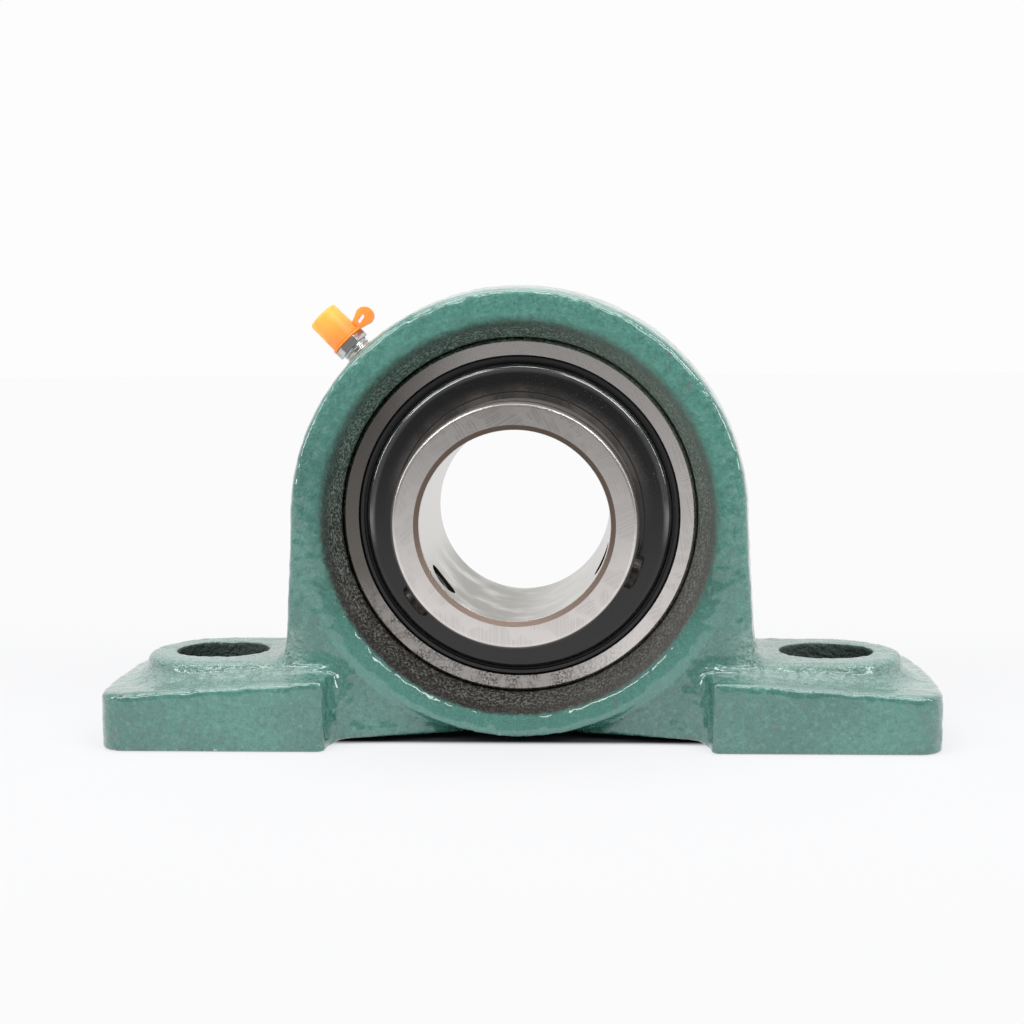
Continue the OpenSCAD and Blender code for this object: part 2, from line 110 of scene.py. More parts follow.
# %% The wire class
class Wire:
    """An output socket that Python's operators can work with."""

    def __init__(self, socket):
        self.socket = socket

    def node(self, kind, settings=None, sockets=None, out=0):
        """Adds a node to this wire's tree, with its settings first, and returns one of its outputs."""
        tree = self.socket.id_data
        made = tree.nodes.new(kind)
        for name, value in (settings or {}).items():
            setattr(made, name, value)
        for name, value in (sockets or {}).items():
            if isinstance(value, Wire):
                tree.links.new(value.socket, made.inputs[name])
            else:
                made.inputs[name].default_value = value
        return Wire(made.outputs[out]) if made.outputs else None

    def math(self, operation, *values):
        return self.node("ShaderNodeMath", {"operation": operation}, dict(enumerate(values)))

    def __add__(self, other):
        return self.math("ADD", self, other)

    def __radd__(self, other):
        return self.math("ADD", other, self)

    def __sub__(self, other):
        return self.math("SUBTRACT", self, other)

    def __rsub__(self, other):
        return self.math("SUBTRACT", other, self)

    def __mul__(self, other):
        return self.math("MULTIPLY", self, other)

    def __rmul__(self, other):
        return self.math("MULTIPLY", other, self)

    def __pow__(self, other):
        return self.math("POWER", self, other)

    def __abs__(self):
        return self.math("ABSOLUTE", self)


def paint(red, green, blue):
    """A colour as a screen shows it, from 0 to 255, in the linear values that shaders use."""
    shares = [channel / 255 for channel in (red, green, blue)]
    return tuple(s / 12.92 if s <= 0.04045 else ((s + 0.055) / 1.055) ** 2.4 for s in shares) + (1.0,)


print("a mid grey is", round(paint(128, 128, 128)[0], 3), "in linear light")

# %% [markdown]
# ## Helpers that every finish shares
# Noise, a soft step and a colour mix are the three words that most of these finishes are
# written in. Sizes are given in millimetres, as a maker would say them.


# %% Finish helpers
def start_finish(name):
    """A new material with an empty tree, and its Object coordinates as a wire."""
    material = bpy.data.materials.new(name)
    material.use_nodes = True
    material.node_tree.nodes.clear()
    return material, Wire(material.node_tree.nodes.new("ShaderNodeTexCoord").outputs["Object"])


def end_finish(place, **sockets):
    """Joins a Principled shader with these sockets to the material's output."""
    named = {name.replace("_", " "): value for name, value in sockets.items()}
    surface = place.node("ShaderNodeBsdfPrincipled", {}, named)
    place.node("ShaderNodeOutputMaterial", {}, {"Surface": surface})


def noise(place, size_mm, detail=2.0, roughness=0.5, stretch=None):
    """Noise from 0 to 1 with lumps of about this size, stretched along an axis if asked."""
    if stretch:
        place = place.node("ShaderNodeVectorMath", {"operation": "MULTIPLY"}, {0: place, 1: stretch})
    sockets = {"Vector": place, "Scale": 1 / (size_mm * MM), "Detail": detail, "Roughness": roughness}
    return place.node("ShaderNodeTexNoise", {}, sockets)


def lines(place, along, size_mm):
    """Fine parallel lines: noise that changes only with one distance, given in metres."""
    sockets = {"W": along, "Scale": 1 / (size_mm * MM), "Detail": 3.0, "Roughness": 0.6}
    return place.node("ShaderNodeTexNoise", {"noise_dimensions": "1D"}, sockets)


def step(value, low, high):
    """0 below low, 1 above high, and smooth between them. High may be the smaller one."""
    settings = {"interpolation_type": "SMOOTHSTEP"}
    flip = low > high
    sockets = {0: value, 1: min(low, high), 2: max(low, high), 3: float(flip), 4: float(not flip)}
    return value.node("ShaderNodeMapRange", settings, sockets)


def mix(share, first, second):
    """Goes from the first colour to the second as share goes from 0 to 1."""
    return share.node("ShaderNodeMix", {"data_type": "RGBA"}, {0: share, 6: first, 7: second}, out=2)


def bump(place, height, depth_mm, strength=1.0):
    """A normal that is tilted by a height field of this depth."""
    sockets = {"Height": height, "Distance": depth_mm * MM, "Strength": strength}
    return place.node("ShaderNodeBump", {}, sockets)


def split(place):
    """The x, y and z of a point, as three wires."""
    return [place.node("ShaderNodeSeparateXYZ", {}, {"Vector": place}, out=i) for i in range(3)]


def shaft_radius(place):
    """Distance of a point from the shaft axis."""
    x, _, z = split(place)
    height = z - SHAFT_Z
    return (x * x + height * height) ** 0.5


def attribute(place, name):
    """A value that the mesh carries, as a wire."""
    made = place.socket.id_data.nodes.new("ShaderNodeAttribute")
    made.attribute_name = name
    return Wire(made.outputs["Fac"])


def between(value, low, high, soft):
    """1 while a value lies between low and high, with soft ends."""
    return step(value, low - soft, low) * step(value, high + soft, high)


def facing_shaft(place):
    """1 on faces that look along the shaft, 0 on those that look away from it."""
    normal = Wire(place.socket.id_data.nodes.new("ShaderNodeNewGeometry").outputs["Normal"])
    return step(abs(split(normal)[1]), 0.8, 0.95)


print("helpers ready")

# %% [markdown]
# ## Green enamel on cast iron
# A sand casting is never smooth. The paint runs over its grain and leaves a glossy skin like
# orange peel, so a lamp's reflection breaks into sparkles. The pits of that peel are painted
# darker and its peaks paler, as painted shade and painted light. The rim under the insert is
# painted a brighter green, as painted light, and the tops of the feet have a coarser grain,
# less coat and a pale painted sheen. In the recess round the insert the paint is only a dust
# over dark iron, greener at the top, where the spray reached. A darker band just inside the
# mouth is painted shade, and the right side of the recess is painted lighter, as painted
# light. Inside the bolt slots the colour is darker and greyer. Pale specks sit on edges where
# paint has chipped, and the mask for those is an attribute that the casting's mesh carries.

# %% Enamel
ENAMEL = paint(70, 134, 120)
ENAMEL_DEEP = paint(59, 117, 105)
ENAMEL_PIT_SHADE = paint(40, 88, 77)
ENAMEL_PEAK_LIGHT = paint(112, 168, 156)
ENAMEL_LIP_LIGHT = paint(84, 152, 138)
ENAMEL_TOP_SHEEN = paint(172, 196, 188)
STAIN = paint(106, 100, 96)
MILLED_IRON = paint(150, 149, 146)
IRON_DARK = paint(56, 74, 66)
IRON_BROWN = paint(50, 46, 42)
IRON_GREEN = paint(136, 164, 152)
IRON_SPECK = paint(160, 160, 154)
SLOT_DARK = paint(60, 74, 68)
BARE_IRON = paint(208, 206, 200)
MOUTH_RADIUS = 43.2 * MM
RIM_RADIUS = 48.4 * MM
FACE_Y = 17.7 * MM
BOLT_X = 68.5 * MM
SLOT_RADIUS = 8.5 * MM
SLOT_STRAIGHT = 1.5 * MM
PEEL_DEPTH_MM = 0.5
GLOSS_IOR = 1.75


def slot_reach(place):
    """Distance of a point from the middle line of the nearer bolt slot."""
    x, y, _ = split(place)
    along = abs(abs(x) - BOLT_X) - SLOT_STRAIGHT
    along = along.math("MAXIMUM", along, 0.0)
    return (along * along + y * y) ** 0.5


def lip_painted_light(place):
    """1 on the rim under the insert, where the green is painted brighter, as painted light."""
    _, y, z = split(place)
    low = step(z, SHAFT_Z - 14 * MM, SHAFT_Z - 30 * MM) * step(abs(y), 9 * MM, 11 * MM)
    return low * between(shaft_radius(place), 43 * MM, RIM_RADIUS, 0.6 * MM)


def foot_top(place):
    """1 on the top of the feet inside their front and back edges, where the sand bit deepest and a pale sheen
    is painted.
    """
    x, y, z = split(place)
    level = step(z, 12 * MM, 14 * MM) * step(z, 27 * MM, 23 * MM)
    return level * step(abs(x), 44 * MM, 50 * MM) * step(abs(y), 24.5 * MM, 22.5 * MM)


def recess_colour(place, radius, sand):
    """Dark iron with a dust of paint, browner low down; its right side is painted lighter, as painted light,
    and a band near the mouth darker, as painted shade.
    """
    x, _, z = split(place)
    high = step(z, SHAFT_Z - 24 * MM, SHAFT_Z + 24 * MM)
    dark = mix(high, IRON_BROWN, IRON_DARK)
    # The right side of the recess is painted lighter, as painted light falling from the left.
    dark = mix(step(x, -10 * MM, 36 * MM) * 0.3, dark, IRON_SPECK)
    light = mix(high, IRON_SPECK, IRON_GREEN)
    # Fewer light specks near the mouth: a band of painted shade under the lip.
    mouth_shade = step(radius, 40.8 * MM, 42.2 * MM)
    return mix(step(sand, 0.44, 0.66) * (1 - 0.75 * mouth_shade), dark, light)


def make_enamel():
    material, place = start_finish("green_enamel")
    radius = shaft_radius(place)
    _, y, z = split(place)
    wrinkle = noise(place, 1.3, detail=3, roughness=0.5)
    grain = noise(place, 0.6, detail=2)
    sand = noise(place, 0.55, detail=2, roughness=0.7)
    ragged = radius + 1.2 * MM * (wrinkle - 0.5)
    high = step(z, SHAFT_Z - 20 * MM, SHAFT_Z + 10 * MM)
    crisp = step(ragged, MOUTH_RADIUS + 0.2 * MM, MOUTH_RADIUS - 0.6 * MM)
    # At the top the dark reaches further out with a softer edge, as painted shade where the rounded upper
    # mouth turns from the light.
    inside = crisp + high * (step(ragged, MOUTH_RADIUS + 0.6 * MM, MOUTH_RADIUS - 1.8 * MM) - crisp)
    recess = inside * step(abs(y), FACE_Y, FACE_Y - 0.8 * MM)
    slot = step(slot_reach(place), SLOT_RADIUS + 0.7 * MM, SLOT_RADIUS + 0.4 * MM)
    chips = step(attribute(place, "edge"), 0.45, 0.9) * step(noise(place, 1.6, detail=3), 0.69, 0.72)
    chips = chips * step(radius, 45 * MM, 46 * MM)
    lower = step(z, SHAFT_Z + 44 * MM, SHAFT_Z + 10 * MM)
    colour = mix(step(noise(place, 22, detail=3), 0.3, 0.65) * lower, ENAMEL, ENAMEL_DEEP)
    peel = wrinkle * 0.6 + grain * 0.4
    # The pits of the peel are painted darker and its peaks paler: painted shade and painted light.
    colour = mix(step(peel, 0.5, 0.38) * 0.4, colour, ENAMEL_PIT_SHADE)
    colour = mix(step(peel, 0.52, 0.64) * 0.3, colour, ENAMEL_PEAK_LIGHT)
    # The rim under the insert is painted brighter, as painted light.
    colour = mix(lip_painted_light(place) * 0.6, colour, ENAMEL_LIP_LIGHT)
    grain_and_sheen = foot_top(place)
    # A pale sheen is painted on the tops of the feet, as painted reflection at a grazing view.
    colour = mix(grain_and_sheen * (0.26 + 0.22 * step(peel, 0.36, 0.6)), colour, ENAMEL_TOP_SHEEN)
    stain = step(noise(place, 2.2, detail=3), 0.6, 0.72) * step(noise(place, 18, detail=2), 0.5, 0.62)
    colour = mix(stain * 0.5, colour, STAIN)
    colour = mix(recess, colour, recess_colour(place, radius, sand))
    # Inside the bolt slots the colour is darker and greyer.
    colour = mix(slot, colour, SLOT_DARK)
    colour = mix(chips, colour, BARE_IRON)
    milled = step(z, 0.25 * MM, 0.1 * MM)
    colour = mix(milled, colour, MILLED_IRON)
    dusty = high * step(radius, 46.5 * MM, 44 * MM) * 0.75
    dull = recess.math("MAXIMUM", recess, slot)
    dull = dull.math("MAXIMUM", dull, milled)
    dull = dull.math("MAXIMUM", dull, dusty)
    roughness = 0.2 + 0.14 * grain + 0.4 * dull
    height = peel * (1 + 1.6 * grain_and_sheen) + sand * recess
    gloss = (1 - dull) * (1 - 0.5 * grain_and_sheen)
    end_finish(place, Base_Color=colour, Roughness=roughness, Normal=bump(place, height, PEEL_DEPTH_MM),
               Coat_Weight=gloss, Coat_Roughness=0.05, Coat_IOR=GLOSS_IOR)
    return material


enamel = make_enamel()
print("finish", enamel.name)

# %% [markdown]
# ## Ground and turned steel
# The faces of the rings are ground with a cup wheel, which leaves fine crossing arcs. The
# bore is turned and ground round the axis, so its lines run round it, and oil has left olive
# clouds low in it. The chamfer at its mouth keeps the brown of the hardening furnace.

# %% Ring steel
STEEL = paint(222, 217, 214)
STEEL_DULL = paint(176, 170, 167)
BORE_STEEL = paint(199, 196, 190)
OLIVE = paint(116, 114, 102)
FURNACE_BROWN = paint(128, 112, 103)
RING_PAINTED_SHADE = paint(104, 100, 95)
CORNER_DARK_REFLECTION = paint(92, 87, 83)
SCREW_HOLE_SHADE = paint(54, 50, 46)
SPECK_DARK = paint(92, 87, 82)
WHEEL_A = Vector((-78, 0, 27)) * MM
WHEEL_B = Vector((64, 0, -46)) * MM
BORE = 20 * MM
CHAMFER = 1.05 * MM
INNER_RADIUS = 26 * MM
RING_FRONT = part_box("inner_ring")[0].y
screw_low, screw_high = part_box("set_screw_1")
SCREW_Y = (screw_low.y + screw_high.y) / 2
SCREW_HALF = (screw_high.y - screw_low.y) / 2


def wheel_arcs(place, centre):
    """Scratches along circles round the middle of a grinding wheel."""
    offset = place.node("ShaderNodeVectorMath", {"operation": "SUBTRACT"}, {0: place, 1: centre})
    reach = place.node("ShaderNodeVectorMath", {"operation": "LENGTH"}, {0: offset}, out="Value")
    return lines(place, reach, 0.3)


def ground_marks(place):
    """Crossing wheel arcs, each kind in its own patches, on faces that look along the shaft."""
    patch = noise(place, 7, detail=2)
    arcs = wheel_arcs(place, WHEEL_A) * step(patch, 0.45, 0.6)
    arcs = arcs + wheel_arcs(place, WHEEL_B) * step(patch, 0.55, 0.4)
    return arcs * facing_shaft(place)


def make_inner_steel():
    material, place = start_finish("inner_ring_steel")
    x, y, z = split(place)
    radius = shaft_radius(place)
    marks = ground_marks(place)
    turned = lines(place, y + 0.4 * MM * noise(place, 12), 0.3)
    bore = step(radius, BORE + 0.06 * MM, BORE + 0.02 * MM)
    chamfer = between(radius, BORE + 0.1 * MM, BORE + CHAMFER, 0.05 * MM)
    hole = between(radius, BORE + 0.1 * MM, INNER_RADIUS - 0.1 * MM, 0.05 * MM)
    hole = hole * step(abs(y - SCREW_Y), SCREW_HALF + 0.4 * MM, SCREW_HALF + 0.2 * MM)
    oily = step(noise(place, 8, detail=4, roughness=0.5), 0.2, 0.6) * bore
    oily = oily * step(z, SHAFT_Z - 4 * MM, SHAFT_Z - 16 * MM) * (0.3 + 0.7 * step(x, 12 * MM, -4 * MM))
    crown = step(z, SHAFT_Z + 12 * MM, SHAFT_Z + 21 * MM)
    strokes = step(marks, 0.3, 0.65) * (0.25 + 0.45 * crown)
    colour = mix(strokes, STEEL, STEEL_DULL)
    colour = mix(bore, colour, BORE_STEEL)
    colour = mix(oily, colour, OLIVE)
    colour = mix(chamfer, colour, FURNACE_BROWN)
    # Near the front corner the ring's outside is painted dark, as a painted reflection of the black slinger
    # that also narrows the corner's highlight.
    outside = step(radius, INNER_RADIUS - 0.9 * MM, INNER_RADIUS - 0.6 * MM) * (1 - facing_shaft(place))
    corner = step(y, RING_FRONT + 6 * MM, RING_FRONT + 2.5 * MM)
    colour = mix(outside, colour, mix(corner, STEEL_DULL, CORNER_DARK_REFLECTION))
    # The walls of the set-screw holes are painted dark, as painted shade inside the holes.
    colour = mix(hole, colour, SCREW_HOLE_SHADE)
    roughness = 0.2 + 0.1 * marks + 0.1 * turned * bore + 0.25 * (hole + chamfer + outside)
    normal = bump(place, marks * (0.6 + crown) + 0.4 * turned * bore, 0.015, 0.5)
    end_finish(place, Base_Color=colour, Metallic=1.0, Roughness=roughness, Normal=normal)
    return material


def make_outer_steel():
    material, place = start_finish("outer_ring_steel")
    x, _, z = split(place)
    marks = ground_marks(place)
    # Low down and on the left the face is painted darker, as painted shade; low down it also gets real dark
    # specks.
    low = step(z, SHAFT_Z - 8 * MM, SHAFT_Z - 28 * MM) * step(x, 26 * MM, 4 * MM)
    film = step(x + 6 * MM * noise(place, 9, detail=3), 0.0, -30 * MM)
    film = film * step(z, SHAFT_Z - 32 * MM, SHAFT_Z - 10 * MM)
    patches = step(noise(place, 3, detail=3), 0.32, 0.6)
    spots = step(noise(place, 0.55, detail=3, roughness=0.7), 0.4, 0.64) * (0.06 + 0.9 * low * patches)
    # Painted shade, low and on the left.
    colour = mix(low * 0.6, STEEL, RING_PAINTED_SHADE)
    colour = mix(step(marks, 0.35, 0.7) * 0.4, colour, STEEL_DULL)
    colour = mix(film * 0.95, colour, RING_PAINTED_SHADE)
    colour = mix(spots, colour, SPECK_DARK)
    roughness = 0.22 + 0.12 * marks + 0.3 * spots
    normal = bump(place, marks - spots, 0.015, 0.5)
    end_finish(place, Base_Color=colour, Metallic=1.0, Roughness=roughness, Normal=normal)
    return material


inner_steel = make_inner_steel()
outer_steel = make_outer_steel()
print("finishes", inner_steel.name, outer_steel.name)

# %% [markdown]
# ## Polished and pressed steel
# Balls are lapped until they shine. The cage is pressed from sheet and stays satin. Zinc
# plating is bright with faint clouds, and black oxide is a thin dark skin on a screw.


# %% Small metal finishes
def make_metal(name, colour, dull, low, high, lump_mm):
    """A metal whose colour and gloss drift in soft clouds."""
    material, place = start_finish(name)
    cloud = noise(place, lump_mm, detail=3)
    fine = noise(place, lump_mm / 8, detail=2)
    share = step(cloud * 0.6 + fine * 0.4, 0.35, 0.7)
    roughness = low + (high - low) * share
    normal = bump(place, fine, 0.02, 0.4)
    end_finish(place, Base_Color=mix(share, colour, dull), Metallic=1.0, Roughness=roughness, Normal=normal)
    return material


ball_steel = make_metal("lapped_ball_steel", paint(222, 222, 224), paint(204, 204, 208), 0.06, 0.12, 3)
cage_steel = make_metal("pressed_cage_steel", paint(190, 188, 184), paint(160, 158, 154), 0.28, 0.42, 2)
zinc_plate = make_metal("zinc_plate", paint(208, 206, 204), paint(168, 166, 166), 0.18, 0.34, 1.6)
black_oxide = make_metal("black_oxide", paint(64, 60, 58), paint(40, 38, 38), 0.26, 0.42, 1.2)
spring_steel = make_metal("spring_steel", paint(196, 196, 200), paint(150, 150, 156), 0.16, 0.3, 0.8)
print("metal finishes ready")

# %% [markdown]
# ## Black rubber and painted sheet
# The seal is dull rubber. The slinger in front of it is sheet steel with a black coat. The
# die has burnished its shoulder, so that a second, stronger coat there holds a bright line.
# Dust lies on its upper half, thickest round the inner ring.

# %% Black finishes
RUBBER = paint(26, 26, 28)
BLACK_COAT = paint(12, 12, 14)
DUST = paint(150, 146, 142)
GREY_FILM = paint(92, 87, 82)
SLINGER_RADIUS = (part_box("slinger_front")[1].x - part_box("slinger_front")[0].x) / 2


def make_seal_rubber():
    material, place = start_finish("seal_rubber")
    fine = noise(place, 0.5, detail=3, roughness=0.6)
    specks = step(noise(place, 0.4, detail=3, roughness=0.7), 0.62, 0.74)
    roughness = 0.24 + 0.16 * fine
    colour = mix(specks * 0.2, RUBBER, DUST)
    end_finish(place, Base_Color=colour, Roughness=roughness, Normal=bump(place, fine, 0.03, 0.5))
    return material


def make_slinger_black():
    material, place = start_finish("slinger_black")
    x, _, z = split(place)
    fine = noise(place, 0.6, detail=3, roughness=0.6)
    radius = shaft_radius(place)
    upper = step(z, SHAFT_Z - 6 * MM, SHAFT_Z + 14 * MM)
    hub = step(radius, INNER_RADIUS + 4.0 * MM, INNER_RADIUS + 0.4 * MM)
    right = step(x, -10 * MM, 16 * MM)
    specks = step(noise(place, 0.4, detail=3, roughness=0.7), 0.58, 0.72) * upper
    specks = specks * (0.12 + 0.4 * right * step(noise(place, 6, detail=2), 0.4, 0.6))
    film = hub * upper * (0.35 + 0.65 * step(noise(place, 7, detail=3), 0.35, 0.65))
    seam = between(radius, INNER_RADIUS + 1.2 * MM, INNER_RADIUS + 1.45 * MM, 0.1 * MM)
    colour = mix(specks, mix(film * 0.75, BLACK_COAT, GREY_FILM), DUST)
    colour = mix(seam, colour, BLACK_COAT)
    roughness = 0.14 + 0.08 * fine + 0.3 * specks + 0.2 * film
    normal = bump(place, 0.3 * specks + 0.2 * fine - 2.0 * seam, 0.05, 0.5)
    burnished = step(radius, SLINGER_RADIUS - 2.4 * MM, SLINGER_RADIUS - 1.5 * MM)
    burnished = burnished * step(z, SHAFT_Z - 8 * MM, SHAFT_Z + 2 * MM)
    end_finish(place, Base_Color=colour, Roughness=roughness, Normal=normal, IOR=1.55,
               Coat_Weight=burnished, Coat_Roughness=0.12, Coat_IOR=2.5)
    return material


seal_rubber = make_seal_rubber()
slinger_black = make_slinger_black()
print("black finishes ready")

# %% [markdown]
# ## Orange cap plastic
# The dust cap is soft polyethylene. Light passes through it, so it glows against a bright
# wall, and where the nipple stands inside it looks deeper. That light is painted: the orange is
# deeper at the mouth and paler and yellower towards the thin end, and a little painted glow is
# added. Some scattering softens the shade.

# %% Cap plastic
NIPPLE_ANGLE = math.radians(135)
NIPPLE_AXIS = Vector((math.cos(NIPPLE_ANGLE), 0, math.sin(NIPPLE_ANGLE)))
NIPPLE_FOOT = Vector((0, 0, SHAFT_Z))
CAP_SHADED_ORANGE = paint(255, 146, 62)
CAP_LIT_ORANGE = paint(255, 184, 78)


def along_nipple(point):
    """Distance of a point from the shaft axis, measured along the nipple."""
    return (Vector(point) - NIPPLE_FOOT).dot(NIPPLE_AXIS)


cap_points = [along_nipple(vertex.co) for vertex in nodes["dust_cap"].data.vertices]
CAP_MOUTH, CAP_END = min(cap_points), max(cap_points)


def make_cap_plastic():
    material, place = start_finish("cap_plastic")
    offset = place.node("ShaderNodeVectorMath", {"operation": "SUBTRACT"}, {0: place, 1: NIPPLE_FOOT})
    sockets = {0: offset, 1: NIPPLE_AXIS}
    along = place.node("ShaderNodeVectorMath", {"operation": "DOT_PRODUCT"}, sockets, out="Value")
    fine = noise(place, 0.6, detail=2)
    share = step(along + 1.2 * MM * fine, CAP_MOUTH, CAP_END)
    roughness = 0.3 + 0.14 * fine
    normal = bump(place, fine, 0.03, 0.4)
    # The colour is painted deeper at the mouth and paler towards the thin end, and is also painted on as a
    # glow: painted light through the plastic.
    colour = mix(share, CAP_SHADED_ORANGE, CAP_LIT_ORANGE)
    end_finish(place, Base_Color=colour, Roughness=roughness, Normal=normal,
               Emission_Color=colour, Emission_Strength=0.25,
               Subsurface_Weight=0.3, Subsurface_Radius=(3.0, 1.6, 0.5), Subsurface_Scale=1.0 * MM)
    return material


cap_plastic = make_cap_plastic()
print("cap runs from", round(CAP_MOUTH / MM, 2), "to", round(CAP_END / MM, 2), "mm")

# %% [markdown]
# ## Trees that grow meshes
# Geometry Nodes make what follows a path or a surface. `start_tree` opens a tree with named
# inputs, `run_tree` adds it to an object, and `make_plain` keeps the result as a plain mesh,
# because a finished piece should not depend on a live modifier.


# %% Tree helpers
def start_tree(name, **inputs):
    """A geometry tree with these inputs, as wires by name. Each input is (socket type, value)."""
    tree = bpy.data.node_groups.new(name, "GeometryNodeTree")
    tree.interface.new_socket("Geometry", in_out="INPUT", socket_type="NodeSocketGeometry")
    for title, (kind, value) in inputs.items():
        socket = tree.interface.new_socket(title, in_out="INPUT", socket_type=kind)
        if value is not None:
            socket.default_value = value
    tree.interface.new_socket("Geometry", in_out="OUTPUT", socket_type="NodeSocketGeometry")
    entry = tree.nodes.new("NodeGroupInput")
    return tree, {socket.name: Wire(socket) for socket in entry.outputs if socket.name}


def end_tree(shape, finish):
    """Ends a tree with real geometry in one finish."""
    real = shape.node("GeometryNodeRealizeInstances", {}, {"Geometry": shape})
    dressed = shape.node("GeometryNodeSetMaterial", {}, {"Geometry": real, "Material": finish})
    shape.node("NodeGroupOutput", {}, {"Geometry": dressed})


def add_modifier(holder, kind, **settings):
    """Adds a modifier with these settings to an object."""
    modifier = holder.modifiers.new(kind.lower(), kind)
    for key, value in settings.items():
        setattr(modifier, key, value)
    return modifier


def make_plain(holder):
    """Keeps what an object's modifiers make as its own mesh, and removes them."""
    seen = holder.evaluated_get(bpy.context.evaluated_depsgraph_get())
    plain = bpy.data.meshes.new_from_object(seen)
    plain.name = holder.name
    holder.modifiers.clear()
    holder.data = plain
    return holder


def new_piece(name, mesh):
    """An object in the scene for a mesh."""
    piece = bpy.data.objects.new(name, mesh)
    scene.collection.objects.link(piece)
    return piece


def run_tree(holder, tree, **values):
    """Adds a tree to an object, with its named inputs set."""
    modifier = add_modifier(holder, "NODES", node_group=tree)
    for item in tree.interface.items_tree:
        if item.in_out == "INPUT" and item.name in values:
            modifier[item.identifier] = values[item.name]


def merged_copy(node, flatten=False):
    """A copy of a CAD node's mesh, its triangles joined, and if asked its flat faces made whole."""
    mesh = nodes[node].data.copy()
    stored = mesh.attributes.get("custom_normal")
    if stored:
        mesh.attributes.remove(stored)
    work = bmesh.new()
    work.from_mesh(mesh)
    bmesh.ops.remove_doubles(work, verts=work.verts, dist=0.001 * MM)
    if flatten:
        bmesh.ops.dissolve_limit(work, angle_limit=math.radians(0.5), verts=work.verts, edges=work.edges)
    work.to_mesh(mesh)
    work.free()
    mesh.materials.clear()
    return mesh


print("merged housing has", len(merged_copy("housing").vertices), "corners")

# %% [markdown]
# ## The casting
# A sand mould has no sharp edges, and the exact solid has nothing else. A fine voxel remesh
# turns the solid into an even skin. A tree then blurs the positions of its corners. A short
# blur rounds every edge a little, longer ones round the arch and, most of all, the lip under
# the insert. The longest is kept only where it fills a hollow, on the feet and beside the rim,
# as the pattern maker's wax fillets do. The bolt slots stay crisp. Then the tree presses the lumps
# and the grain of the sand inwards, so the casting stays inside its measured box, and the
# machined base and seat stay smooth.

# %% Casting tree
SKIN_VOXEL = 0.7 * MM
SEAT_RADIUS = 40.6 * MM
LUMP_SIZE, GRAIN_SIZE = 3.4 * MM, 1.5 * MM


def arch_front(place):
    """1 on the front and back of the arch and of the rim under it, outside the recess."""
    _, y, z = split(place)
    radius = shaft_radius(place)
    rim = step(radius, 49.5 * MM, 48.5 * MM)
    high = rim.math("MAXIMUM", rim, step(z, 19 * MM, 25 * MM))
    return high * step(abs(y), 11 * MM, 13 * MM) * step(radius, 41 * MM, 42 * MM)


def lower_lip(place):
    """1 on the inner side of the rim under the insert, which is as round as a bead."""
    _, y, z = split(place)
    low = step(z, SHAFT_Z - 8 * MM, SHAFT_Z - 22 * MM) * step(abs(y), 9 * MM, 11 * MM)
    return low * between(shaft_radius(place), 41.5 * MM, 45.5 * MM, 1.2 * MM)


